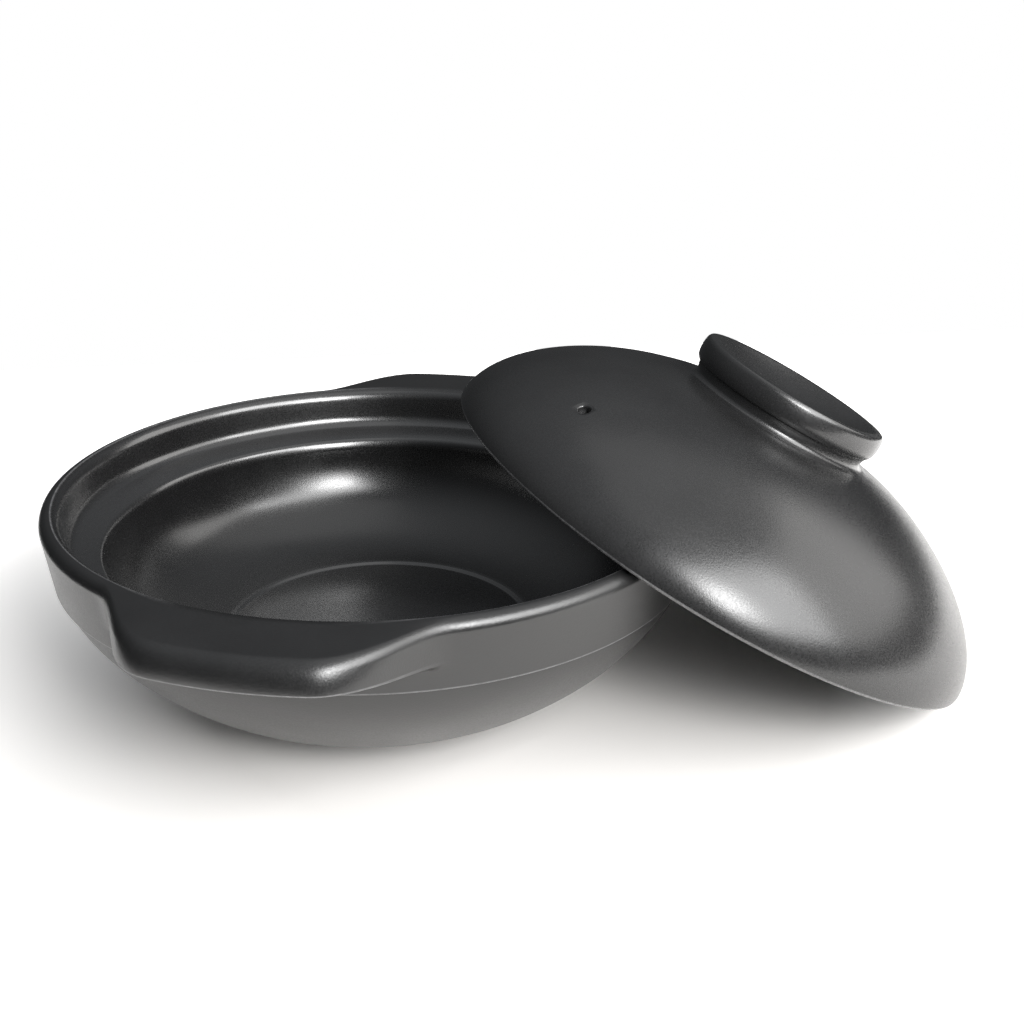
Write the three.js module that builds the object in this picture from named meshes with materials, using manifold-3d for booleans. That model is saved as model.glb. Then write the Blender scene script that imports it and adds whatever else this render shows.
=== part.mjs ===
// A shallow stoneware pot with two flange lugs, and its domed lid leaning on the rim. Millimetres.
import * as THREE from 'three';
import { mergeVertices } from 'three/addons/utils/BufferGeometryUtils.js';
import Module from 'manifold-3d';

// Pot, outside
const RIM_RADIUS = 120;
const POT_HEIGHT = 81;
const BAND_HEIGHT = 25;
const BAND_DRAFT = 3.2;
const BAND_STEP = 1.4;
const BAND_ROUND = 1;
const BELLY_POWER = 1.43;
const FOOT_RADIUS = 52;
const FOOT_WIDTH = 8;
const FOOT_HEIGHT = 4.5;
const FOOT_RECESS = 7;
const FOOT_ROUND = 1.5;

// Pot, lip and gallery that carries the lid
const LIP_WIDTH = 7.2;
const LIP_FALL = 1.5;
const LIP_ROUND = 3.5;
const LIP_INNER_ROUND = 2;
const GALLERY_DEPTH = 13;
const GALLERY_DRAFT = 1.6;
const GALLERY_FILLET = 2.5;
const LEDGE_WIDTH = 10.5;
const LEDGE_FALL = 6.3;
const LEDGE_ROUND = 2.5;

// Pot, inside
const FLOOR_RADIUS = 69;
const FLOOR_HEIGHT = 17.5;
const FLOOR_DISH = 1.5;
const FLOOR_ANGLE = 21;
const BOWL_SHOULDER = 4;

// Lugs
const LUG_BEARING = 69;
const LUG_REACH = 22.5;
const LUG_THICKNESS = 11;
const LUG_ROUND = 5;
const LUG_DROP = 1.6;
const LUG_ROOT = 15;
const LUG_HALF_SPAN = 27.5;
const LUG_HALF_FLAT = 11;

// Lid
const LID_CLEARANCE = 1.7;
const LID_WALL = 6;
const LID_EDGE_ROUND = 1.5;
const DOME_RISE = 57.3;
const DOME_POWER = 1.71;
const STEAM_HOLE_RADIUS = 2.6;
const STEAM_HOLE_INSET = 20;
const STEAM_HOLE_BEARING = 205;

// Knob on the lid
const KNOB_RADIUS = 38.2;
const KNOB_WALL = 8;
const KNOB_HEIGHT = 7.5;
const KNOB_LIP_ROUND = 2.5;
const KNOB_NECK_DEPTH = 2.2;
const KNOB_NECK_HEIGHT = 3.5;
const KNOB_FLARE = 3;

// How the lid leans on the rim
const LEAN_ANGLE = 29.6;
const LEAN_BEARING = -1.5;
const LID_BEARING = -0.95;

// Gap between pieces that touch on the real pot
const SEAT_GAP = 0.3;

// Glazes, as a colour and a roughness
const POT_GLAZE = { color: 0x2b2b2d, roughness: 0.45 };
const LID_GLAZE = { color: 0x303032, roughness: 0.4 };
const KNOB_GLAZE = { color: 0x262628, roughness: 0.3 };

// Fineness of the round shapes
const POT_SIDES = 56;
const KNOB_SIDES = 36;
const HOLE_SIDES = 16;
const CORNER_STEPS = 3;
const CURVE_STEPS = 9;
const DOME_STEPS = 12;
const LUG_STEPS = 30;
const LEAN_SAMPLES = 720;
const LEAN_STEPS = 40;
const WELD_DISTANCE = 1e-4;

// Sizes that follow from the ones above
const bandBottom = POT_HEIGHT - BAND_HEIGHT;
const bandBottomRadius = RIM_RADIUS - BAND_DRAFT;
const bellyRadius = bandBottomRadius - BAND_STEP;
const lipInnerRadius = RIM_RADIUS - LIP_WIDTH;
const galleryRadius = lipInnerRadius - GALLERY_DRAFT;
const galleryHeight = POT_HEIGHT - GALLERY_DEPTH;
const ledgeRadius = galleryRadius - LEDGE_WIDTH;
const ledgeHeight = galleryHeight - LEDGE_FALL;
const lugTop = POT_HEIGHT - LUG_DROP;
const lidRadius = galleryRadius - LID_CLEARANCE;
const knobTop = DOME_RISE + KNOB_HEIGHT;

const radians = THREE.MathUtils.degToRad;
const lean = new THREE.Euler(0, radians(LEAN_ANGLE), radians(LEAN_BEARING), 'ZYX');

const wasm = await Module();
wasm.setup();

const point = (r, z) => new THREE.Vector2(r, z);

// Points along an arc, from one angle to another.
function arc(centre, radius, from, to) {
  return Array.from({ length: CORNER_STEPS + 1 }, (_, i) => {
    const angle = from + (to - from) * (i / CORNER_STEPS);
    return point(centre.x + radius * Math.cos(angle), centre.y + radius * Math.sin(angle));
  });
}

// The arc that rounds a corner between the corners before and after it.
function roundedCorner(before, corner, after, radius) {
  const back = before.clone().sub(corner).normalize();
  const ahead = after.clone().sub(corner).normalize();
  const halfAngle = Math.acos(back.dot(ahead)) / 2;
  const inward = back.clone().add(ahead).setLength(radius / Math.sin(halfAngle));
  const centre = corner.clone().add(inward);
  const setback = radius / Math.tan(halfAngle);
  const start = back.multiplyScalar(setback).add(corner).sub(centre).angle();
  const end = ahead.multiplyScalar(setback).add(corner).sub(centre).angle();
  const turn = THREE.MathUtils.euclideanModulo(end - start + Math.PI, 2 * Math.PI) - Math.PI;
  return arc(centre, radius, start, start + turn);
}

// An outline of corners, each [point, rounding]. A rounding of 0 keeps the corner sharp.
function roundedOutline(corners) {
  return corners.flatMap(([corner, round], i) => {
    if (round === 0) return [corner];
    return roundedCorner(corners[i - 1][0], corner, corners[i + 1][0], round);
  });
}

// Height of a superellipse of the given half width, rise and power, at distance r from its axis.
function superellipse(r, halfWidth, rise, power) {
  return rise * (1 - (r / halfWidth) ** power) ** (1 / power);
}

// Distances from 0 to 1 that crowd together towards 1, where the curves are steep.
function crowded(steps) {
  return Array.from({ length: steps + 1 }, (_, i) => Math.sin((i / steps) * Math.PI / 2));
}

// A surface of revolution about Z from a profile of (radius, height) points.
function revolve(profile, sides) {
  return new THREE.LatheGeometry(profile, sides).rotateX(Math.PI / 2);
}

function toSolid(geometry) {
  const bare = new THREE.BufferGeometry();
  bare.setAttribute('position', geometry.getAttribute('position'));
  bare.setIndex(geometry.getIndex());
  const merged = mergeVertices(bare, WELD_DISTANCE);
  return new wasm.Manifold(new wasm.Mesh({
    numProp: 3,
    vertProperties: new Float32Array(merged.getAttribute('position').array),
    triVerts: new Uint32Array(merged.getIndex().array),
  }));
}

function toGeometry(solid) {
  const mesh = solid.getMesh();
  const geometry = new THREE.BufferGeometry();
  geometry.setAttribute('position', new THREE.BufferAttribute(mesh.vertProperties, 3));
  geometry.setIndex(new THREE.BufferAttribute(mesh.triVerts, 1));
  geometry.computeVertexNormals();
  return geometry;
}

function glazed(name, geometry, glaze) {
  const mesh = new THREE.Mesh(geometry, new THREE.MeshStandardMaterial(glaze));
  mesh.name = name;
  return mesh;
}

// The belly, from the foot up to the underside of the band.
function bellyCurve() {
  const rise = bandBottom - FOOT_HEIGHT;
  const spread = bellyRadius - FOOT_RADIUS;
  return crowded(CURVE_STEPS).map((s) => {
    const drop = superellipse(s * spread, spread, rise, BELLY_POWER);
    return point(FOOT_RADIUS + s * spread, bandBottom - drop);
  });
}

// The inner wall, from the ledge down to the floor.
function bowlCurve() {
  const floorEdge = point(FLOOR_RADIUS, FLOOR_HEIGHT + FLOOR_DISH);
  const shoulderRadius = ledgeRadius - BOWL_SHOULDER;
  const shoulderRise = (shoulderRadius - FLOOR_RADIUS) * Math.tan(radians(FLOOR_ANGLE));
  const shoulder = point(shoulderRadius, floorEdge.y + shoulderRise);
  const top = point(ledgeRadius - LEDGE_ROUND / 2, ledgeHeight - LEDGE_ROUND);
  return new THREE.QuadraticBezierCurve(top, shoulder, floorEdge).getPoints(CURVE_STEPS);
}

function potBowl() {
  const footInner = FOOT_RADIUS - FOOT_WIDTH;
  const foot = roundedOutline([
    [point(0, FOOT_RECESS), 0],
    [point(footInner, FOOT_RECESS), FOOT_ROUND],
    [point(footInner, 0), FOOT_ROUND],
    [point(FOOT_RADIUS, 0), FOOT_ROUND],
    [point(FOOT_RADIUS, FOOT_HEIGHT), 0],
  ]);
  const belly = bellyCurve();
  const bowl = bowlCurve();
  const lip = arc(point(RIM_RADIUS - LIP_ROUND, POT_HEIGHT - LIP_ROUND), LIP_ROUND, 0, Math.PI / 2);
  const rim = roundedOutline([
    [belly.at(-1), 0],
    [point(bandBottomRadius, bandBottom), BAND_ROUND],
    ...lip.map((onLip) => [onLip, 0]),
    [point(lipInnerRadius, POT_HEIGHT - LIP_FALL), LIP_INNER_ROUND],
    [point(galleryRadius, galleryHeight), GALLERY_FILLET],
    [point(ledgeRadius, ledgeHeight), LEDGE_ROUND],
    [bowl[0], 0],
  ]);
  const floor = point(0, FLOOR_HEIGHT);
  const profile = [...foot, ...belly.slice(1), ...rim.slice(1), ...bowl.slice(1), floor];
  return glazed('pot_bowl', revolve(profile, POT_SIDES), POT_GLAZE);
}

// How far a lug stands out from the rim, at an angle in degrees from the lug's middle.
function lugReach(angle) {
  const share = (LUG_HALF_SPAN - Math.abs(angle)) / (LUG_HALF_SPAN - LUG_HALF_FLAT);
  return LUG_REACH * THREE.MathUtils.smoothstep(share, 0, 1);
}

// The space that the rim band takes up, with the gap that a lug keeps to it.
function bandSpace() {
  const top = POT_HEIGHT + LUG_THICKNESS;
  const profile = [
    point(0, bandBottom),
    point(bandBottomRadius + SEAT_GAP, bandBottom),
    point(RIM_RADIUS + SEAT_GAP, POT_HEIGHT - LIP_ROUND),
    point(RIM_RADIUS + SEAT_GAP, top),
    point(0, top),
  ];
  return toSolid(revolve(profile, POT_SIDES * 2));
}

// A flange with a full round edge that swells out of the rim and back into it.
function lugGeometry() {
  const polar = (r, angle) => point(r * Math.cos(radians(angle)), r * Math.sin(radians(angle)));
  const angles = Array.from({ length: LUG_STEPS + 1 }, (_, i) => LUG_HALF_SPAN * (2 * i / LUG_STEPS - 1));
  const outer = angles.map((angle) => polar(RIM_RADIUS + lugReach(angle), angle));
  const inner = angles.toReversed().map((angle) => polar(RIM_RADIUS - LUG_ROOT, angle));
  const flange = new THREE.ExtrudeGeometry(new THREE.Shape([...outer, ...inner]), {
    depth: LUG_THICKNESS - 2 * LUG_ROUND,
    bevelThickness: LUG_ROUND,
    bevelSize: LUG_ROUND,
    bevelOffset: -LUG_ROUND,
    bevelSegments: CORNER_STEPS,
  });
  flange.translate(0, 0, lugTop - LUG_THICKNESS + LUG_ROUND);
  return toGeometry(toSolid(flange).subtract(bandSpace()));
}

function lug(name, geometry, bearing) {
  const mesh = glazed(name, geometry, POT_GLAZE);
  mesh.rotation.z = radians(bearing);
  return mesh;
}

// Height of the dome's outer face above the lid's widest circle.
const domeHeight = (r) => superellipse(r, lidRadius, DOME_RISE, DOME_POWER);

function lidDome() {
  const innerRadius = lidRadius - LID_WALL;
  const innerRise = DOME_RISE - LID_WALL;
  const distances = crowded(DOME_STEPS);
  const outside = distances.map((s) => point(s * lidRadius, domeHeight(s * lidRadius)));
  const inside = distances.map((s) => {
    const height = superellipse(s * innerRadius, innerRadius, innerRise, DOME_POWER);
    return point(s * innerRadius, height);
  });
  const edge = roundedOutline([
    [inside.at(-1), 0],
    [point(innerRadius, -LID_EDGE_ROUND), LID_EDGE_ROUND],
    [point(lidRadius, -LID_EDGE_ROUND), LID_EDGE_ROUND],
    [outside.at(-1), 0],
  ]);
  const profile = [...inside, ...edge.slice(2, -2), ...outside.toReversed()];
  const shell = toSolid(revolve(profile, POT_SIDES));
  return glazed('lid_dome', toGeometry(shell.subtract(steamHole())), LID_GLAZE);
}

// A drill through the dome, square to its face.
function steamHole() {
  const r = lidRadius - STEAM_HOLE_INSET;
  const fall = domeHeight(r + STEAM_HOLE_RADIUS) - domeHeight(r - STEAM_HOLE_RADIUS);
  const length = 4 * LID_WALL;
  const drill = new THREE.CylinderGeometry(STEAM_HOLE_RADIUS, STEAM_HOLE_RADIUS, length, HOLE_SIDES);
  drill.rotateX(Math.PI / 2);
  drill.rotateY(-Math.atan2(fall, 2 * STEAM_HOLE_RADIUS));
  drill.translate(r, 0, domeHeight(r));
  drill.rotateZ(radians(STEAM_HOLE_BEARING));
  return toSolid(drill);
}

// A ring that stands on the dome, with a neck under its rounded lip.
function lidKnob() {
  const innerRadius = KNOB_RADIUS - KNOB_WALL;
  const neckRadius = KNOB_RADIUS - KNOB_NECK_DEPTH;
  const footRadius = neckRadius + KNOB_FLARE;
  const seat = (r) => point(r, domeHeight(r) + SEAT_GAP);
  const neck = point(neckRadius, domeHeight(neckRadius) + KNOB_NECK_HEIGHT);
  const corners = [
    [seat(innerRadius), 0],
    [seat((innerRadius + footRadius) / 2), 0],
    [seat(footRadius), 0],
    [neck, KNOB_NECK_DEPTH / 2],
    [point(KNOB_RADIUS, neck.y + KNOB_NECK_DEPTH), KNOB_NECK_DEPTH / 2],
    [point(KNOB_RADIUS, knobTop), KNOB_LIP_ROUND],
    [point(innerRadius, knobTop), KNOB_LIP_ROUND],
    [seat(innerRadius), 0],
  ];
  return glazed('lid_knob', revolve(roundedOutline(corners), KNOB_SIDES), KNOB_GLAZE);
}

// Where the lid's middle stands, at this distance from the pot's axis.
function lidMiddle(distance, height) {
  const bearing = radians(LID_BEARING);
  return new THREE.Vector3(distance * Math.cos(bearing), distance * Math.sin(bearing), height);
}

// Least gap from a round edge of the lid's bottom ring to the round lip and the round lug noses.
function rodClearance(rodRadius, middle) {
  const gapTo = (across, z, radius, top, round) =>
    Math.hypot(across - radius + round, z - top + round) - round - LID_EDGE_ROUND;
  const gaps = Array.from({ length: LEAN_SAMPLES }, (_, i) => {
    const turn = (i / LEAN_SAMPLES) * 2 * Math.PI;
    const rod = new THREE.Vector3(rodRadius * Math.cos(turn), rodRadius * Math.sin(turn), 0);
    rod.applyEuler(lean).add(middle);
    const across = Math.hypot(rod.x, rod.y);
    const fromLug = THREE.MathUtils.radToDeg(Math.atan2(rod.y, rod.x)) - LUG_BEARING;
    const lugRadius = RIM_RADIUS + lugReach(Math.min(Math.abs(fromLug), LUG_HALF_SPAN));
    return Math.min(
      gapTo(across, rod.z, RIM_RADIUS, POT_HEIGHT, LIP_ROUND),
      gapTo(across, rod.z, lugRadius, lugTop, LUG_ROUND),
    );
  });
  return Math.min(...gaps);
}

// Least gap between the rim and the lid's bottom ring, which has an outer and an inner rounded edge.
function leanClearance(middle) {
  const outerEdge = lidRadius - LID_EDGE_ROUND;
  const innerEdge = lidRadius - LID_WALL + LID_EDGE_ROUND;
  return Math.min(rodClearance(outerEdge, middle), rodClearance(innerEdge, middle));
}

// The lid slides in along the table until its edge meets the rim.
function leanDistance(height) {
  let near = RIM_RADIUS - lidRadius / 2;
  let far = RIM_RADIUS + lidRadius;
  for (let i = 0; i < LEAN_STEPS; i += 1) {
    const middle = (near + far) / 2;
    if (leanClearance(lidMiddle(middle, height)) < SEAT_GAP) near = middle;
    else far = middle;
  }
  return far;
}

function leaningLid() {
  const lid = new THREE.Group();
  lid.add(lidDome(), lidKnob());
  const height = (lidRadius - LID_EDGE_ROUND) * Math.sin(lean.y) + LID_EDGE_ROUND;
  lid.rotation.copy(lean);
  lid.position.copy(lidMiddle(leanDistance(height), height));
  return lid;
}

// The set stands on z = 0, with the origin in the middle of its footprint and +Z up.
function standOnOrigin(set) {
  set.updateMatrixWorld(true);
  const box = new THREE.Box3().setFromObject(set, true);
  const middle = box.getCenter(new THREE.Vector3());
  set.position.set(-middle.x, -middle.y, -box.min.z);
  return set;
}

const set = new THREE.Group();
const flange = lugGeometry();
set.add(potBowl());
set.add(lug('front_lug', flange, LUG_BEARING + 180));
set.add(lug('rear_lug', flange, LUG_BEARING));
set.add(leaningLid());

export default standOnOrigin(set);
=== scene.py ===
# A black-glazed clay pot with its domed lid leaning on the rim.
import math

import bmesh
import bpy
import numpy as np
from mathutils import Euler, Matrix, Vector


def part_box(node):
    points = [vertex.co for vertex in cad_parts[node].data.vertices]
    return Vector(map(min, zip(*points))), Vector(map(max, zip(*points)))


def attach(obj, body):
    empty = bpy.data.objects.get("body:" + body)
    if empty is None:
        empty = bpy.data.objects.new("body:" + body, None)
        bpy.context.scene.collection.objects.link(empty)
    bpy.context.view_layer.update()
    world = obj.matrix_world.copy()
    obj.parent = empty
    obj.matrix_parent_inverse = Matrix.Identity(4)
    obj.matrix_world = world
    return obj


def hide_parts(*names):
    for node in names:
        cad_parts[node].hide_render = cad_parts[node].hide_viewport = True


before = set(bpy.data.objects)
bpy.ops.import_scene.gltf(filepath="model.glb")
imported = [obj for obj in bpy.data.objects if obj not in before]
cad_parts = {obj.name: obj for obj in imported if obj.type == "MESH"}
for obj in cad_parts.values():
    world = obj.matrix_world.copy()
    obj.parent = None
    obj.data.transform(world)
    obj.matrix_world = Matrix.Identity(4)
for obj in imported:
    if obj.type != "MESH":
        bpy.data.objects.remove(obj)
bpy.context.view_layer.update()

MM = 0.001

# Pot, outside, in millimetres
RIM_RADIUS = 120
POT_HEIGHT = 81
BAND_BOTTOM = 56
BAND_BOTTOM_RADIUS = 116.8
BAND_STEP = 1.7
BAND_ROUND = 1.1
BELLY_POWER = 1.43
FOOT_RADIUS = 52
FOOT_WIDTH = 8
FOOT_HEIGHT = 4.5
FOOT_RECESS = 7
FOOT_ROUND = 1.5

# Pot, lip and gallery
LIP_ROUND = 4.2
LIP_FALL = 1.5
LIP_INNER_RADIUS = 112.8
LIP_INNER_ROUND = 5
GALLERY_RADIUS = 111.2
GALLERY_HEIGHT = 66.8
GALLERY_FILLET = 5
LEDGE_RADIUS = 99.6
LEDGE_HEIGHT = 63.2
LEDGE_ROUND = 2.6

# Pot, inside
FLOOR_RADIUS = 57.5
FLOOR_HEIGHT = 23.3
FLOOR_DISH = 0.7
FLOOR_ANGLE = 8
FLOOR_STEP_RUN = 1.2
FLOOR_STEP_DROP = 0.8
FLOOR_STEP_ROUND = 1.2
FLOOR_STEP_FILLET = 1.6
BOWL_SHOULDER = 0.8

# Lugs, with the bearing of one and the half widths of both in degrees
LUG_BEARING = 68.25
LUG_HALF_SPAN = 29.75
LUG_HALF_FLAT = 10
LUG_REACH = 24.6
LUG_TOP = 80.5
LUG_NOSE_DEPTH = 6.2
LUG_UNDERSIDE = 70.3
LUG_LOWER_ROUND = 0.8
LUG_ROOT_HEIGHT = 66.4
LUG_ROOT_FILLET = 4

# Lid
LID_RADIUS = 109.5
LID_WALL = 6
LID_EDGE_DROP = 1.5
LID_EDGE_ROUND = 1.35
DOME_RISE = 57.3
DOME_POWER = 1.71
STEAM_HOLE_RADIUS = 2.2
STEAM_HOLE_FLARE = 0.9
STEAM_HOLE_SINK = 0.2
STEAM_HOLE_INSET = 20
STEAM_HOLE_BEARING = 205

# Knob on the lid, a ring with a round outside, a sharp crest and a hollow
KNOB_RADIUS = 38.1
KNOB_WIDEST_HEIGHT = 60
KNOB_TOP = 64.85
KNOB_CREST_RADIUS = 37
KNOB_CREST_WIDTH = 3.2
KNOB_CREST_ROUND = 0.9
KNOB_NECK_RADIUS = 36.2
KNOB_NECK_HEIGHT = 55.3
KNOB_FOOT_RADIUS = 35.2
KNOB_FOOT_SPREAD = 2.6
KNOB_FOOT_RISE = 2.5
KNOB_FOOT_CLEARANCE = 1
KNOB_HOLLOW_DEPTH = 7.6
KNOB_HOLLOW_POWER = 2.4
KNOB_ASIDE = -2.6
ASIDE_START = 56
ASIDE_END = KNOB_RADIUS + 2

# Dip of the dome round the knob's foot
DIP_DEPTH = 1.9
DIP_START = 92
DIP_END = 38

# Where the lid leans, from the pot's axis
LID_PLACE = (128.208, -2.126, 54.846)
LEAN_ANGLE = 29.6
LEAN_BEARING = -1.5

# Fineness of the meshes, the gap that their seams close and the step for a slope
SIDES = 288
HOLE_SIDES = 32
ARC_STEPS = 8
CURVE_STEPS = 44
LONGEST_SPAN = 2.4
SEAM_GAP = 0.002
SLOPE_STEP = 1

# Points along each stretch of the rim, from the band's lower edge to the lip's crest
FACE_POINTS = 8
ROOT_POINTS = 8
UNDERSIDE_POINTS = 10
LOWER_EDGE_POINTS = 8
NOSE_POINTS = 26
TOP_POINTS = 16

# Heights that part the plain rim's face, the middle of the lip's round and the angle that parts it
PLAIN_HEIGHTS = (57, 61, 64, 66, 67.5)
LIP_CENTRE = (RIM_RADIUS - LIP_ROUND, POT_HEIGHT - LIP_ROUND)
LIP_SPLIT = 60

# Points of a curve that give way to the rounding at its end
BELLY_SKIP = 3
CREST_SKIP = 3

# Waver of the hand-worked clay, which fades out towards the foot
POT_WAVER = 0.25
LID_WAVER = 0.2
WAVER_START = 12
WAVER_SCALE = 14.0

# Where the glaze lies thick and glossy, and how strong its gloss is there
GALLERY_GLOSS_OUTER = LIP_INNER_RADIUS + 1.5
GALLERY_GLOSS_INNER = LEDGE_RADIUS - 1
GALLERY_GLOSS_BOTTOM = LEDGE_HEIGHT - 3
POOL_RADIUS = FLOOR_RADIUS + 0.5
KNOB_GLOSS_OUTER = KNOB_RADIUS + 1.5
KNOB_GLOSS_INNER = KNOB_CREST_RADIUS - KNOB_CREST_WIDTH - 1
GALLERY_COAT = 1.0
FLOOR_COAT = 0.9
KNOB_COAT = 0.25
COAT_ROUGHNESS = 0.16

# Outward bends, in radians per millimetre, where the glaze begins to thin and is thinnest
THICK_GLAZE_BEND = 0.5
THIN_GLAZE_BEND = 0.95
THIN_EDGE_RADIUS = 70

# How much paler the glaze is where it is thin, in patches
THIN_SHADE_LEAST = 8.0
THIN_SHADE_MOST = 16.0
PATCH_SCALE = 400.0

# Extra roughness of the drier glaze outside, and how it coarsens the grain
OUTSIDE_MATT = 0.08
MATT_GRAIN = 20.0

# Mottle, grain and pinholes of the glaze, with scales per metre and the rest as shares
MOTTLE_SCALE = 34.0
MOTTLE_DETAIL = 4.0
MOTTLE_SHADE = 0.15
MOTTLE_ROUGHNESS = 0.03
GRAIN_SCALE = 1500.0
GRAIN_DETAIL = 2.0
GRAIN_SHADE = 0.1
GRAIN_ROUGHNESS = 0.04
NOISE_LOW = 0.3
NOISE_HIGH = 0.7
GRAIN_LOW = 0.35
GRAIN_HIGH = 0.65
PINHOLE_SCALE = 150.0
PINHOLE_RARITY = 0.72
PINHOLE_EDGE = 0.05
PINHOLE_BOTTOM = 0.03

# Tones, and the depth of the grain in millimetres
BLACK = (0, 0, 0, 1)
WHITE = (1, 1, 1, 1)
POT_TONE = (0.009, 0.009, 0.0092)
POT_GRAIN = 0.016
LID_TONE = (0.015, 0.015, 0.0153)
LID_GRAIN = 0.03

# Places of the colour sockets on a Mix node
MIX_START = 6
MIX_END = 7
MIX_RESULT = 2

# Camera, from the pot's axis, in millimetres and radians
CAMERA_PLACE = (-28.376, -544.354, 289.867)
CAMERA_PITCH = -0.3856
CAMERA_YAW = 0.1449
FOCAL_PIXELS = 1577.64
IMAGE_PIXELS = 1024
SENSOR_WIDTH = 36

# Light, with the point that the lamps face in metres
LIT_POINT = Vector((0, 0, 0.05))
WARM = (1, 0.985, 0.965)
SKY = (0.93, 0.96, 1.0, 1)
HORIZON = 0.055
ZENITH = 0.46
ROOM_FALLOFF = 2.0

# Table, in metres, with the distances over which its paper turns white
TABLE_LEFT = -0.3
TABLE_RIGHT = 0.5
TABLE_FRONT = -0.26
TABLE_BACK = 0.44
WHITE_START = 0.12
WHITE_END = 0.37
PAPER = (0.91, 0.89, 0.865, 1)


def superellipse(share, power):
    """Height of a superellipse of unit size, at this share of its half width."""
    return (1 - np.asarray(share) ** power) ** (1 / power)


def crowded(count):
    """Shares from 0 to 1 that crowd together towards 1."""
    return np.sin(np.linspace(0, math.pi / 2, count))


def span(start, end, count):
    """Points from start towards end, without the end itself."""
    shares = np.linspace(0, 1, count, endpoint=False)[:, None]
    return np.array(start) + shares * (np.array(end) - np.array(start))


def arc(centre, radius, start, end, count):
    """Points on an arc between two angles in degrees, without the last."""
    angles = np.radians(np.linspace(start, end, count, endpoint=False))
    return np.array(centre) + radius * np.stack([np.cos(angles), np.sin(angles)], 1)


def rounded_corner(before, corner, after, radius):
    """The points of the arc that rounds a corner of an outline."""
    back = (before - corner) / np.linalg.norm(before - corner)
    ahead = (after - corner) / np.linalg.norm(after - corner)
    half_angle = math.acos(np.clip(back @ ahead, -1, 1)) / 2
    inward = (back + ahead) / np.linalg.norm(back + ahead)
    centre = corner + inward * radius / math.sin(half_angle)
    start = corner + back * radius / math.tan(half_angle) - centre
    end = corner + ahead * radius / math.tan(half_angle) - centre
    first = math.atan2(start[1], start[0])
    turn = (math.atan2(end[1], end[0]) - first + math.pi) % (2 * math.pi) - math.pi
    angles = first + turn * np.linspace(0, 1, ARC_STEPS)
    return centre + radius * np.stack([np.cos(angles), np.sin(angles)], 1)


def rounded_outline(corners):
    """An outline through (radius, height, rounding) corners, with its long spans divided."""
    places = [np.array(c[:2], float) for c in corners]
    points = []
    for i, corner in enumerate(corners):
        if corner[2]:
            points += list(rounded_corner(places[i - 1], places[i], places[i + 1], corner[2]))
        else:
            points.append(places[i])
    divided = [points[0]]
    for start, end in zip(points, points[1:]):
        count = max(1, math.ceil(np.linalg.norm(end - start) / LONGEST_SPAN))
        divided += list(span(start, end, count)[1:]) + [end]
    return np.array(divided)


def unrounded(points):
    """Plain points as outline corners without rounding."""
    return [(*p, 0) for p in points]


def belly_curve():
    """The belly from the foot up to the underside of the band."""
    shares = crowded(CURVE_STEPS)
    spread = BAND_BOTTOM_RADIUS - BAND_STEP - FOOT_RADIUS
    drop = (BAND_BOTTOM - FOOT_HEIGHT) * superellipse(shares, BELLY_POWER)
    return np.stack([FOOT_RADIUS + shares * spread, BAND_BOTTOM - drop], 1)


def bowl_curve():
    """The inner wall from the ledge down to the edge of the floor."""
    floor_edge = np.array([FLOOR_RADIUS, FLOOR_HEIGHT + FLOOR_DISH])
    shoulder_radius = LEDGE_RADIUS - BOWL_SHOULDER
    rise = (shoulder_radius - FLOOR_RADIUS) * math.tan(math.radians(FLOOR_ANGLE))
    shoulder = floor_edge + [shoulder_radius - FLOOR_RADIUS, rise]
    top = np.array([LEDGE_RADIUS - LEDGE_ROUND / 2, LEDGE_HEIGHT - LEDGE_ROUND])
    t = np.linspace(0, 1, CURVE_STEPS)[:, None]
    return top * (1 - t) ** 2 + shoulder * 2 * t * (1 - t) + floor_edge * t**2


def band_face(height):
    """The point on the band's sloping face at this height."""
    share = (height - BAND_BOTTOM) / (POT_HEIGHT - LIP_ROUND - BAND_BOTTOM)
    return (BAND_BOTTOM_RADIUS + share * (RIM_RADIUS - BAND_BOTTOM_RADIUS), height)


def plain_rim():
    """The rim where there is no lug: the band's face and the round lip."""
    counts = (FACE_POINTS, ROOT_POINTS, UNDERSIDE_POINTS, LOWER_EDGE_POINTS)
    face = [
        span(band_face(low), band_face(high), count)
        for low, high, count in zip(PLAIN_HEIGHTS, PLAIN_HEIGHTS[1:], counts)
    ]
    upper_face = span(band_face(PLAIN_HEIGHTS[-1]), band_face(LIP_CENTRE[1]), NOSE_POINTS // 2)
    nose = arc(LIP_CENTRE, LIP_ROUND, 0, LIP_SPLIT, NOSE_POINTS // 2)
    top = arc(LIP_CENTRE, LIP_ROUND, LIP_SPLIT, 90, TOP_POINTS)
    return np.concatenate([*face, upper_face, nose, top])


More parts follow.
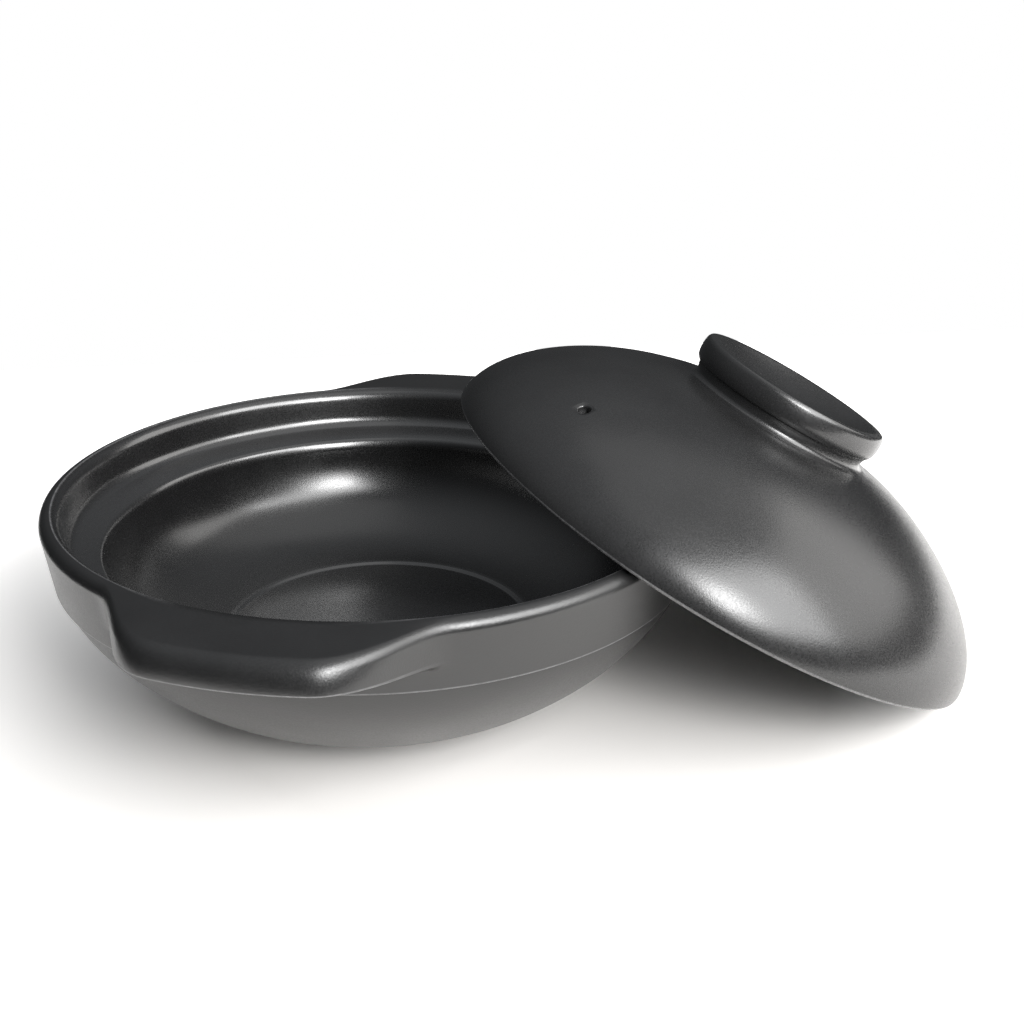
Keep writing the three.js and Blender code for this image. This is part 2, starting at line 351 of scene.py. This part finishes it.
def lug_rim():
    """The rim across the middle of a lug, with as many points as the plain rim."""
    outer = RIM_RADIUS + LUG_REACH
    root = band_face(LUG_ROOT_HEIGHT - LUG_ROOT_FILLET)
    fillet_centre = (root[0] + LUG_ROOT_FILLET, root[1])
    underside_start = (fillet_centre[0], LUG_ROOT_HEIGHT)
    lower_centre = (outer - LUG_LOWER_ROUND, LUG_UNDERSIDE + LUG_LOWER_ROUND)
    nose_centre = (outer - LUG_NOSE_DEPTH, lower_centre[1])
    nose_size = np.array([LUG_NOSE_DEPTH, LUG_TOP - lower_centre[1]])
    crest = (LIP_CENTRE[0], POT_HEIGHT)
    return np.concatenate([
        span(band_face(PLAIN_HEIGHTS[0]), root, FACE_POINTS),
        arc(fillet_centre, LUG_ROOT_FILLET, 180, 90, ROOT_POINTS),
        span(underside_start, (lower_centre[0], LUG_UNDERSIDE), UNDERSIDE_POINTS),
        arc(lower_centre, LUG_LOWER_ROUND, -90, 0, LOWER_EDGE_POINTS),
        arc(nose_centre, nose_size, 0, 90, NOSE_POINTS),
        span((nose_centre[0], LUG_TOP), crest, TOP_POINTS),
    ])


def pot_outline(rim):
    """The pot's whole outline, from the axis under the foot to the axis on the floor."""
    foot_inner = FOOT_RADIUS - FOOT_WIDTH
    belly = belly_curve()
    bowl = bowl_curve()
    floor_edge = FLOOR_HEIGHT + FLOOR_DISH
    below = rounded_outline([
        (0, FOOT_RECESS, 0),
        (foot_inner, FOOT_RECESS, FOOT_ROUND),
        (foot_inner, 0, FOOT_ROUND),
        (FOOT_RADIUS, 0, FOOT_ROUND),
        (FOOT_RADIUS, FOOT_HEIGHT, FOOT_ROUND),
        *unrounded(belly[BELLY_SKIP:]),
        (BAND_BOTTOM_RADIUS, BAND_BOTTOM, BAND_ROUND),
        (*rim[0], 0),
    ])
    inside = rounded_outline([
        (*rim[-1], 0),
        (LIP_CENTRE[0], POT_HEIGHT, 0),
        (LIP_INNER_RADIUS, POT_HEIGHT - LIP_FALL, LIP_INNER_ROUND),
        (GALLERY_RADIUS, GALLERY_HEIGHT, GALLERY_FILLET),
        (LEDGE_RADIUS, LEDGE_HEIGHT, LEDGE_ROUND),
        *unrounded(bowl[:-1]),
        (FLOOR_RADIUS, floor_edge, FLOOR_STEP_ROUND),
        (FLOOR_RADIUS - FLOOR_STEP_RUN, floor_edge - FLOOR_STEP_DROP, FLOOR_STEP_FILLET),
        (0, FLOOR_HEIGHT - FLOOR_STEP_DROP, 0),
    ])
    return np.concatenate([below[:-1], rim[:-1], inside[1:]])


def dome_height(radius):
    """Height of the dome's outer face above the lid's widest circle."""
    return DOME_RISE * superellipse(np.asarray(radius) / LID_RADIUS, DOME_POWER)


def skirt_height(radius):
    """Height of the dome's outer face with the dip round the knob."""
    dip = np.clip((DIP_START - radius) / (DIP_START - DIP_END), 0, 1)
    return dome_height(radius) - DIP_DEPTH * dip**3


def quarter(start, end):
    """A quarter ellipse that leaves start upright and reaches end level."""
    angles = np.linspace(0, math.pi / 2, ARC_STEPS)
    radii = end[0] + (start[0] - end[0]) * np.cos(angles)
    heights = start[1] + (end[1] - start[1]) * np.sin(angles)
    return np.stack([radii, heights], 1)


def lid_outline():
    """The lid's whole outline, from the axis inside the dome to the axis in the knob's hollow."""
    inner_radius = LID_RADIUS - LID_WALL
    shares = crowded(CURVE_STEPS)
    inner_height = (DOME_RISE - LID_WALL) * superellipse(shares, DOME_POWER)
    inside = np.stack([shares * inner_radius, inner_height], 1)
    foot_radius = KNOB_FOOT_RADIUS + KNOB_FOOT_SPREAD
    outer_radius = LID_RADIUS * shares[::-1]
    outer_radius = outer_radius[outer_radius > foot_radius + KNOB_FOOT_CLEARANCE]
    outside = np.stack([outer_radius, skirt_height(outer_radius)], 1)
    widest = (KNOB_RADIUS, KNOB_WIDEST_HEIGHT)
    neck = (KNOB_NECK_RADIUS, KNOB_NECK_HEIGHT)
    foot_height = float(skirt_height(foot_radius))
    neck_foot = (KNOB_FOOT_RADIUS, foot_height + KNOB_FOOT_RISE)
    foot = quarter(neck_foot, (foot_radius, foot_height))[::-1]
    under_bulge = quarter(widest, neck)[::-1]
    crest_inner = KNOB_CREST_RADIUS - KNOB_CREST_WIDTH
    over_bulge = quarter(widest, (KNOB_CREST_RADIUS, KNOB_TOP))[1:-CREST_SKIP]
    hollow_share = np.linspace(1, 0, CURVE_STEPS // 2)[1:]
    hollow_height = KNOB_TOP - KNOB_HOLLOW_DEPTH * (1 - hollow_share**KNOB_HOLLOW_POWER)
    hollow = np.stack([crest_inner * hollow_share, hollow_height], 1)
    return rounded_outline([
        *unrounded(inside[:-1]),
        (inner_radius, -LID_EDGE_DROP, LID_EDGE_ROUND),
        (LID_RADIUS, -LID_EDGE_DROP, LID_EDGE_ROUND),
        *unrounded(outside),
        *unrounded(foot),
        *unrounded(under_bulge),
        *unrounded(over_bulge),
        (KNOB_CREST_RADIUS, KNOB_TOP, KNOB_CREST_ROUND),
        (crest_inner, KNOB_TOP, KNOB_CREST_ROUND),
        *unrounded(hollow),
    ])


def knob_aside(outline):
    """How far each point of the lid's outline stands aside, with the knob, from the dome's middle."""
    radius = outline[:, 0]
    share = np.clip((ASIDE_START - radius) / (ASIDE_START - ASIDE_END), 0, 1)
    share = share**2 * (3 - 2 * share)
    share[: np.argmax(radius)] = 0
    return KNOB_ASIDE * share


def convexity(outline):
    """How sharply an outline turns outward at each point, from 0 to 1, where the glaze runs thin."""
    ahead = np.diff(outline, axis=0)
    heading = np.unwrap(np.arctan2(ahead[:, 1], ahead[:, 0]))
    lengths = np.linalg.norm(ahead, axis=1)
    bend = np.zeros(len(outline))
    bend[1:-1] = np.diff(heading) / ((lengths[1:] + lengths[:-1]) / 2)
    thin = np.clip((bend - THICK_GLAZE_BEND) / (THIN_GLAZE_BEND - THICK_GLAZE_BEND), 0, 1)
    return thin * (outline[:, 0] > THIN_EDGE_RADIUS)


def gallery_gloss(outline):
    """Where the pot's glaze lies thick: inside the lip, in the gallery and pooled on the floor."""
    radius, height = outline.T
    after_crest = np.arange(len(outline)) > np.argmax(height)
    gallery = (radius < GALLERY_GLOSS_OUTER) & (radius > GALLERY_GLOSS_INNER)
    gallery = gallery & (height > GALLERY_GLOSS_BOTTOM)
    pool = after_crest & (radius < POOL_RADIUS)
    return gallery * GALLERY_COAT + pool * FLOOR_COAT


def outside_matt(outline):
    """Where the pot's glaze is drier: on the outside, up to the lip's crest."""
    return (np.arange(len(outline)) < np.argmax(outline[:, 1])) * OUTSIDE_MATT


def knob_gloss(outline):
    """Where the lid's glaze lies thick: on the knob's foot, side and crest."""
    radius = outline[:, 0]
    after_edge = np.arange(len(outline)) > np.argmax(radius)
    glossy = after_edge & (radius < KNOB_GLOSS_OUTER) & (radius > KNOB_GLOSS_INNER)
    return glossy * KNOB_COAT


def outline_object(name, outline, lug_outline, aside, gloss, matt):
    """A wire of the outline, with the lug's outline, the shift aside and the glaze as attributes."""
    mesh = bpy.data.meshes.new(name)
    points = [(r * MM, 0, z * MM) for r, z in outline]
    mesh.from_pydata(points, [(i, i + 1) for i in range(len(points) - 1)], [])
    for key, values in (
        ("lug_radius", lug_outline[:, 0] * MM),
        ("lug_height", lug_outline[:, 1] * MM),
        ("aside", aside * MM),
        ("thin", convexity(outline) * (gloss == 0)),
        ("lug_thin", convexity(lug_outline) * (gloss == 0)),
        ("gloss", gloss),
        ("matt", matt),
    ):
        mesh.attributes.new(key, "FLOAT", "POINT").data.foreach_set("value", values.astype(np.float32))
    wire = bpy.data.objects.new(name, mesh)
    bpy.context.scene.collection.objects.link(wire)
    return wire


class Weaver:
    """Adds nodes to a tree and joins them."""

    def __init__(self, tree):
        self.tree = tree

    def add(self, kind, inputs=None, **settings):
        node = self.tree.nodes.new(kind)
        for key, value in settings.items():
            setattr(node, key, value)
        for key, value in (inputs or {}).items():
            self.feed(node.inputs[key], value)
        return node

    def feed(self, socket, value):
        if isinstance(value, bpy.types.NodeSocket):
            self.tree.links.new(value, socket)
        else:
            socket.default_value = value

    def math(self, operation, *values):
        node = self.add("ShaderNodeMath", operation=operation)
        for socket, value in zip(node.inputs, values):
            self.feed(socket, value)
        return node.outputs[0]


TURN_INPUTS = (
    ("Outline", "NodeSocketGeometry"),
    ("Sides", "NodeSocketInt"),
    ("Lug bearing", "NodeSocketFloat"),
    ("Lug half span", "NodeSocketFloat"),
    ("Lug half flat", "NodeSocketFloat"),
    ("Waver", "NodeSocketFloat"),
    ("Waver scale", "NodeSocketFloat"),
    ("Waver start", "NodeSocketFloat"),
    ("Glaze", "NodeSocketMaterial"),
)


def turning_tree():
    """Turns an outline about Z, and swells it to the lug's outline at two opposite places."""
    tree = bpy.data.node_groups.new("turned_clay", "GeometryNodeTree")
    for name, kind in TURN_INPUTS:
        tree.interface.new_socket(name, in_out="INPUT", socket_type=kind)
    tree.interface.new_socket("Clay", in_out="OUTPUT", socket_type="NodeSocketGeometry")
    w = Weaver(tree)
    given = w.add("NodeGroupInput").outputs
    count = w.add("GeometryNodeAttributeDomainSize", {"Geometry": given["Outline"]}).outputs["Point Count"]
    columns = w.math("ADD", given["Sides"], 1)
    grid = w.add("GeometryNodeMeshGrid", {"Vertices X": columns, "Vertices Y": count})
    index = w.add("GeometryNodeInputIndex").outputs[0]
    row = w.math("MODULO", index, count)
    column = w.math("FLOOR", w.math("DIVIDE", w.math("ADD", index, 0.5), count))
    angle = w.math("MULTIPLY", w.math("DIVIDE", column, given["Sides"]), 2 * math.pi)

    def sampled(value, kind):
        sample = w.add("GeometryNodeSampleIndex", {"Geometry": given["Outline"]}, data_type=kind)
        w.feed(sample.inputs["Value"], value)
        w.feed(sample.inputs["Index"], row)
        return sample.outputs["Value"]

    def named(name):
        return w.add("GeometryNodeInputNamedAttribute", {"Name": name}, data_type="FLOAT").outputs[0]

    position = w.add("GeometryNodeInputPosition").outputs[0]
    place = w.add("ShaderNodeSeparateXYZ", {"Vector": sampled(position, "FLOAT_VECTOR")})
    from_lug = w.math("SUBTRACT", w.math("DEGREES", angle), given["Lug bearing"])
    from_lug = w.math("ABSOLUTE", w.math("WRAP", from_lug, 90, -90))
    swell = w.add(
        "ShaderNodeMapRange",
        {"Value": from_lug, "From Min": given["Lug half span"], "From Max": given["Lug half flat"]},
        interpolation_type="SMOOTHSTEP",
    ).outputs[0]

    def swollen(plain, lug):
        return w.math("MULTIPLY_ADD", w.math("SUBTRACT", lug, plain), swell, plain)

    radius = swollen(place.outputs["X"], sampled(named("lug_radius"), "FLOAT"))
    height = swollen(place.outputs["Z"], sampled(named("lug_height"), "FLOAT"))
    across = w.add("ShaderNodeCombineXYZ", {
        "X": w.math("MULTIPLY_ADD", radius, w.math("COSINE", angle), sampled(named("aside"), "FLOAT")),
        "Y": w.math("MULTIPLY", radius, w.math("SINE", angle)),
        "Z": height,
    }).outputs[0]
    noise = w.add("ShaderNodeTexNoise", {"Vector": across, "Scale": given["Waver scale"], "Detail": 1.0})
    middle = (0.5, 0.5, 0.5)
    swing = w.add("ShaderNodeVectorMath", {0: noise.outputs["Color"], 1: middle}, operation="SUBTRACT")
    amount = w.add(
        "ShaderNodeMapRange",
        {"Value": height, "From Max": given["Waver start"], "To Max": given["Waver"]},
    ).outputs[0]
    waver = w.add("ShaderNodeVectorMath", {0: swing.outputs[0], "Scale": amount}, operation="SCALE")
    turned = w.add("GeometryNodeSetPosition", {
        "Geometry": grid.outputs["Mesh"], "Position": across, "Offset": waver.outputs[0],
    })
    thin = swollen(sampled(named("thin"), "FLOAT"), sampled(named("lug_thin"), "FLOAT"))
    gloss = sampled(named("gloss"), "FLOAT")
    matt = sampled(named("matt"), "FLOAT")
    marked = turned
    for name, value in (("thin", thin), ("gloss", gloss), ("matt", matt)):
        marked = w.add(
            "GeometryNodeStoreNamedAttribute",
            {"Geometry": marked.outputs[0], "Name": name, "Value": value},
            data_type="FLOAT", domain="POINT",
        )
    seam = SEAM_GAP * MM
    closed = w.add("GeometryNodeMergeByDistance", {"Geometry": marked.outputs[0], "Distance": seam})
    smooth = w.add("GeometryNodeSetShadeSmooth", {"Geometry": closed.outputs[0]})
    real = w.add("GeometryNodeRealizeInstances", {"Geometry": smooth.outputs[0]})
    glazed = w.add("GeometryNodeSetMaterial", {"Geometry": real.outputs[0], "Material": given["Glaze"]})
    w.add("NodeGroupOutput", {"Clay": glazed.outputs[0]})
    return tree


def turned_clay(name, outline, lug_outline, aside, gloss, matt, tree, glaze, settings):
    """A closed mesh turned from an outline, with its faces pointing out."""
    wire = outline_object(name + "_outline", outline, lug_outline, aside, gloss, matt)
    modifier = wire.modifiers.new("turning", "NODES")
    modifier.node_group = tree
    for socket in tree.interface.items_tree:
        if socket.in_out == "INPUT" and socket.name in settings:
            modifier[socket.identifier] = settings[socket.name]
        if socket.name == "Glaze":
            modifier[socket.identifier] = glaze
    mesh = mesh_of(wire)
    mesh.name = name
    # The wire's empty material slot comes first and is taken out
    mesh.materials.pop(index=0)
    bpy.data.objects.remove(wire)
    outward(mesh)
    clay = bpy.data.objects.new(name, mesh)
    bpy.context.scene.collection.objects.link(clay)
    return clay


def mesh_of(thing):
    """A plain mesh of an object with its modifiers applied."""
    evaluated = thing.evaluated_get(bpy.context.evaluated_depsgraph_get())
    return bpy.data.meshes.new_from_object(evaluated)


def outward(mesh):
    """Turns a closed mesh's faces outward."""
    work = bmesh.new()
    work.from_mesh(mesh)
    bmesh.ops.recalc_face_normals(work, faces=work.faces)
    work.to_mesh(mesh)
    work.free()


def drilled(lid):
    """The lid with its steam hole cut square to the dome, with a rounded mouth at each end."""
    place = LID_RADIUS - STEAM_HOLE_INSET
    slope = (dome_height(place + SLOPE_STEP) - dome_height(place - SLOPE_STEP)) / (2 * SLOPE_STEP)
    flare = STEAM_HOLE_FLARE
    mouth = LID_WALL / 2 - STEAM_HOLE_SINK
    half = [(STEAM_HOLE_RADIUS, mouth - flare)]
    for angle in np.radians(np.linspace(0, 90, ARC_STEPS)):
        radius = STEAM_HOLE_RADIUS + flare * (1 - math.cos(angle))
        half.append((radius, mouth - flare + flare * math.sin(angle)))
    half.append((half[-1][0] + flare, mouth + flare))
    outline = [(r, -z) for r, z in reversed(half)] + half
    drill = ring_stack("steam_drill", outline, HOLE_SIDES)
    drill.data.materials.append(lid.data.materials[0])
    middle = Vector((place, 0, dome_height(place))) + LID_WALL / 2 * Vector((slope, 0, -1)).normalized()
    stand = Matrix.Rotation(math.radians(STEAM_HOLE_BEARING), 4, "Z") @ Matrix.Translation(middle * MM)
    drill.data.transform(stand @ Matrix.Rotation(-math.atan(slope), 4, "Y"))
    cut = lid.modifiers.new("steam_hole", "BOOLEAN")
    cut.operation = "DIFFERENCE"
    cut.solver = "EXACT"
    cut.object = drill
    mesh = mesh_of(lid)
    lid.modifiers.remove(cut)
    lid.data = mesh
    bpy.data.objects.remove(drill)
    return lid


def ring_stack(name, outline, sides):
    """A closed round plug through (radius, height) points."""
    work = bmesh.new()
    rings = []
    for radius, height in outline:
        ring = []
        across = radius * MM
        for angle in np.linspace(0, 2 * math.pi, sides, endpoint=False):
            ring.append(work.verts.new((across * math.cos(angle), across * math.sin(angle), height * MM)))
        rings.append(ring)
    for low, high in zip(rings, rings[1:]):
        for i in range(sides):
            work.faces.new((low[i - 1], low[i], high[i], high[i - 1]))
    work.faces.new(rings[0])
    work.faces.new(rings[-1])
    bmesh.ops.recalc_face_normals(work, faces=work.faces)
    for face in work.faces:
        face.smooth = True
    mesh = bpy.data.meshes.new(name)
    work.to_mesh(mesh)
    work.free()
    plug = bpy.data.objects.new(name, mesh)
    bpy.context.scene.collection.objects.link(plug)
    return plug


def black_glaze(name, tone, satin, sheen, grain):
    """A satin black glaze with a fine grain, a faint mottle, pinholes and thin edges."""
    material = bpy.data.materials.new(name)
    material.use_nodes = True
    tree = material.node_tree
    w = Weaver(tree)
    shader = tree.nodes["Principled BSDF"]
    place = w.add("ShaderNodeTexCoord").outputs["Object"]

    def noise(scale, detail):
        texture = w.add("ShaderNodeTexNoise", {"Vector": place, "Scale": scale, "Detail": detail})
        return texture.outputs["Fac"]

    def ramped(value, low, high, out_low, out_high):
        return w.add("ShaderNodeMapRange", {
            "Value": value, "From Min": low, "From Max": high, "To Min": out_low, "To Max": out_high,
        }).outputs[0]

    def mark(key):
        return w.add("ShaderNodeAttribute", attribute_name=key).outputs["Fac"]

    mottle = noise(MOTTLE_SCALE, MOTTLE_DETAIL)
    fine = noise(GRAIN_SCALE, GRAIN_DETAIL)
    matt = mark("matt")

    # Shade, paler in patches where the glaze is thin
    patches = noise(PATCH_SCALE, GRAIN_DETAIL)
    paler = ramped(patches, NOISE_LOW, NOISE_HIGH, THIN_SHADE_LEAST, THIN_SHADE_MOST)
    mottled = ramped(mottle, NOISE_LOW, NOISE_HIGH, 1 - MOTTLE_SHADE, 1 + MOTTLE_SHADE)
    grained = ramped(fine, GRAIN_LOW, GRAIN_HIGH, 1 - GRAIN_SHADE, 1 + GRAIN_SHADE)
    shade = w.math("ADD", mottled, w.math("MULTIPLY", mark("thin"), paler))
    shade = w.math("MULTIPLY", shade, grained)
    colour = w.add(
        "ShaderNodeMix",
        {"Factor": shade, MIX_START: BLACK, MIX_END: (*tone, 1)},
        data_type="RGBA", clamp_factor=False,
    )
    w.feed(shader.inputs["Base Color"], colour.outputs[MIX_RESULT])

    # Sheen, drier outside and with a clear coat where the glaze is thick
    mottled_rough = ramped(mottle, NOISE_LOW, NOISE_HIGH, -MOTTLE_ROUGHNESS, MOTTLE_ROUGHNESS)
    grained_rough = ramped(fine, NOISE_LOW, NOISE_HIGH, -GRAIN_ROUGHNESS, GRAIN_ROUGHNESS)
    rough = w.math("ADD", w.math("ADD", mottled_rough, grained_rough), satin)
    w.feed(shader.inputs["Roughness"], w.math("ADD", rough, matt))
    w.feed(shader.inputs["Specular IOR Level"], sheen)
    w.feed(shader.inputs["Coat Weight"], mark("gloss"))
    w.feed(shader.inputs["Coat Roughness"], COAT_ROUGHNESS)

    # Relief, with pinholes in some of the cells
    cells = w.add("ShaderNodeTexVoronoi", {"Vector": place, "Scale": PINHOLE_SCALE})
    draw = w.add("ShaderNodeSeparateColor", {"Color": cells.outputs["Color"]}).outputs[0]
    chosen = w.math("GREATER_THAN", draw, PINHOLE_RARITY)
    pit = ramped(cells.outputs["Distance"], PINHOLE_EDGE, PINHOLE_BOTTOM, 0.0, 1.0)
    relief = w.math("SUBTRACT", fine, w.math("MULTIPLY", chosen, pit))
    relief = w.math("MULTIPLY", relief, w.math("MULTIPLY_ADD", matt, MATT_GRAIN, 1.0))
    bump = w.add("ShaderNodeBump", {"Strength": 1.0, "Distance": grain, "Height": relief})
    w.feed(shader.inputs["Normal"], bump.outputs[0])
    return material


def photo_camera(target):
    """The camera at the photograph's viewpoint, placed from the pot's axis."""
    lens = bpy.data.cameras.new("camera")
    lens.sensor_width = SENSOR_WIDTH
    lens.lens = FOCAL_PIXELS / IMAGE_PIXELS * SENSOR_WIDTH
    camera = bpy.data.objects.new("camera", lens)
    camera.location = target + Vector(CAMERA_PLACE) * MM
    camera.rotation_euler = (math.pi / 2 + CAMERA_PITCH, 0, -CAMERA_YAW)
    bpy.context.scene.collection.objects.link(camera)
    bpy.context.scene.camera = camera


def soft_light(name, bearing, elevation, distance, width, height, power, colour=(1, 1, 1)):
    """An area light that faces the pot. Bearing 0 is behind it, 90 right and 180 at the camera's side."""
    lamp = bpy.data.lights.new(name, "AREA")
    lamp.shape = "RECTANGLE"
    lamp.size = width
    lamp.size_y = height
    lamp.energy = power
    lamp.color = colour
    light = bpy.data.objects.new(name, lamp)
    turn = math.radians(bearing)
    climb = math.radians(elevation)
    out = Vector((math.sin(turn) * math.cos(climb), math.cos(turn) * math.cos(climb), math.sin(climb)))
    light.location = LIT_POINT + out * distance
    light.rotation_euler = out.to_track_quat("Z", "Y").to_euler()
    bpy.context.scene.collection.objects.link(light)


def studio_room():
    """A room that is brighter overhead, with a white backdrop that only the camera sees."""
    world = bpy.data.worlds.new("studio")
    bpy.context.scene.world = world
    world.use_nodes = True
    nodes = world.node_tree.nodes
    w = Weaver(world.node_tree)
    room = nodes["Background"]
    w.feed(room.inputs["Color"], SKY)
    direction = w.add("ShaderNodeTexCoord").outputs["Generated"]
    upward = w.add("ShaderNodeSeparateXYZ", {"Vector": direction}).outputs["Z"]
    overhead = w.math("POWER", w.math("MAXIMUM", upward, 0.0), ROOM_FALLOFF)
    w.feed(room.inputs["Strength"], w.math("MULTIPLY_ADD", overhead, ZENITH - HORIZON, HORIZON))
    backdrop = w.add("ShaderNodeBackground", {"Color": WHITE, "Strength": 1.0})
    seen = w.add("ShaderNodeLightPath").outputs["Is Camera Ray"]
    mixed = w.add("ShaderNodeMixShader", {0: seen, 1: room.outputs[0], 2: backdrop.outputs[0]})
    w.feed(nodes["World Output"].inputs["Surface"], mixed.outputs[0])


def white_paper():
    """Pale paper that is seen to turn white away from the pot, and keeps the shadow near it."""
    paper = bpy.data.materials.new("white_paper")
    paper.use_nodes = True
    nodes = paper.node_tree.nodes
    nodes.remove(nodes["Principled BSDF"])
    w = Weaver(paper.node_tree)
    matt = w.add("ShaderNodeBsdfDiffuse", {"Color": PAPER})
    place = w.add("ShaderNodeTexCoord").outputs["Object"]
    away = w.add("ShaderNodeVectorMath", {0: place}, operation="LENGTH").outputs["Value"]
    whiteness = w.add("ShaderNodeMapRange", {"Value": away, "From Min": WHITE_START, "From Max": WHITE_END})
    paths = w.add("ShaderNodeLightPath").outputs
    seen = w.math("MAXIMUM", paths["Is Camera Ray"], paths["Is Glossy Ray"])
    seen = w.math("MAXIMUM", seen, paths["Is Transmission Ray"])
    strength = w.math("MULTIPLY", whiteness.outputs[0], seen)
    glow = w.add("ShaderNodeEmission", {"Color": WHITE, "Strength": strength})
    mixed = w.add("ShaderNodeAddShader", {0: matt.outputs[0], 1: glow.outputs[0]})
    w.feed(nodes["Material Output"].inputs["Surface"], mixed.outputs[0])
    return paper


def table_floor():
    """The table top under the pot and its lid."""
    mesh = bpy.data.meshes.new("floor")
    corners = [
        (TABLE_LEFT, TABLE_FRONT, 0),
        (TABLE_RIGHT, TABLE_FRONT, 0),
        (TABLE_RIGHT, TABLE_BACK, 0),
        (TABLE_LEFT, TABLE_BACK, 0),
    ]
    mesh.from_pydata(corners, [], [(0, 1, 2, 3)])
    mesh.materials.append(white_paper())
    table = bpy.data.objects.new("floor", mesh)
    bpy.context.scene.collection.objects.link(table)
    return table


pot_low, pot_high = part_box("pot_bowl")
pot_axis = Vector(((pot_low.x + pot_high.x) / 2, (pot_low.y + pot_high.y) / 2, 0))
turning = turning_tree()

# The pot, swelling to a lug at its front and back
plain_line = pot_outline(plain_rim())
lug_line = pot_outline(lug_rim())
pot = turned_clay(
    "clay_pot",
    plain_line,
    lug_line,
    aside=np.zeros(len(plain_line)),
    gloss=gallery_gloss(plain_line),
    matt=outside_matt(plain_line),
    tree=turning,
    glaze=black_glaze("black_pot_glaze", POT_TONE, satin=0.27, sheen=0.9, grain=POT_GRAIN * MM),
    settings={
        "Sides": SIDES,
        "Lug bearing": float(LUG_BEARING),
        "Lug half span": float(LUG_HALF_SPAN),
        "Lug half flat": float(LUG_HALF_FLAT),
        "Waver": POT_WAVER * MM,
        "Waver scale": WAVER_SCALE,
        "Waver start": WAVER_START * MM,
    },
)
pot.data.transform(Matrix.Translation(pot_axis))

# The lid, which has no lugs, so that its own outline stands in for a lug's
lid_line = lid_outline()
lid = turned_clay(
    "clay_lid",
    lid_line,
    lid_line,
    aside=knob_aside(lid_line),
    gloss=knob_gloss(lid_line),
    matt=np.zeros(len(lid_line)),
    tree=turning,
    glaze=black_glaze("black_lid_glaze", LID_TONE, satin=0.28, sheen=0.7, grain=LID_GRAIN * MM),
    settings={
        "Sides": SIDES,
        "Lug bearing": 0.0,
        "Lug half span": 1.0,
        "Lug half flat": 0.0,
        "Waver": LID_WAVER * MM,
        "Waver scale": WAVER_SCALE,
        "Waver start": WAVER_START * MM,
    },
)
lid = drilled(lid)
lean = Euler((0, math.radians(LEAN_ANGLE), math.radians(LEAN_BEARING)), "XYZ").to_matrix().to_4x4()
lid.data.transform(Matrix.Translation(pot_axis + Vector(LID_PLACE) * MM) @ lean)

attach(pot, "pot")
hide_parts("pot_bowl", "front_lug", "rear_lug")
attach(lid, "lid")
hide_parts("lid_dome", "lid_knob")

photo_camera(pot_axis)
soft_light("window", bearing=147, elevation=31, distance=1.4, width=1.35, height=0.95, power=30)
soft_light("bright_pane", bearing=164, elevation=29, distance=1.35, width=0.4, height=0.4, power=9)
soft_light("side_panel", bearing=94, elevation=26, distance=1.4, width=1.2, height=0.9, power=8, colour=WARM)
soft_light("overhead", bearing=100, elevation=68, distance=1.4, width=1.5, height=1.5, power=3, colour=WARM)
studio_room()
floor = table_floor()

bpy.context.scene.view_settings.view_transform = "Standard"
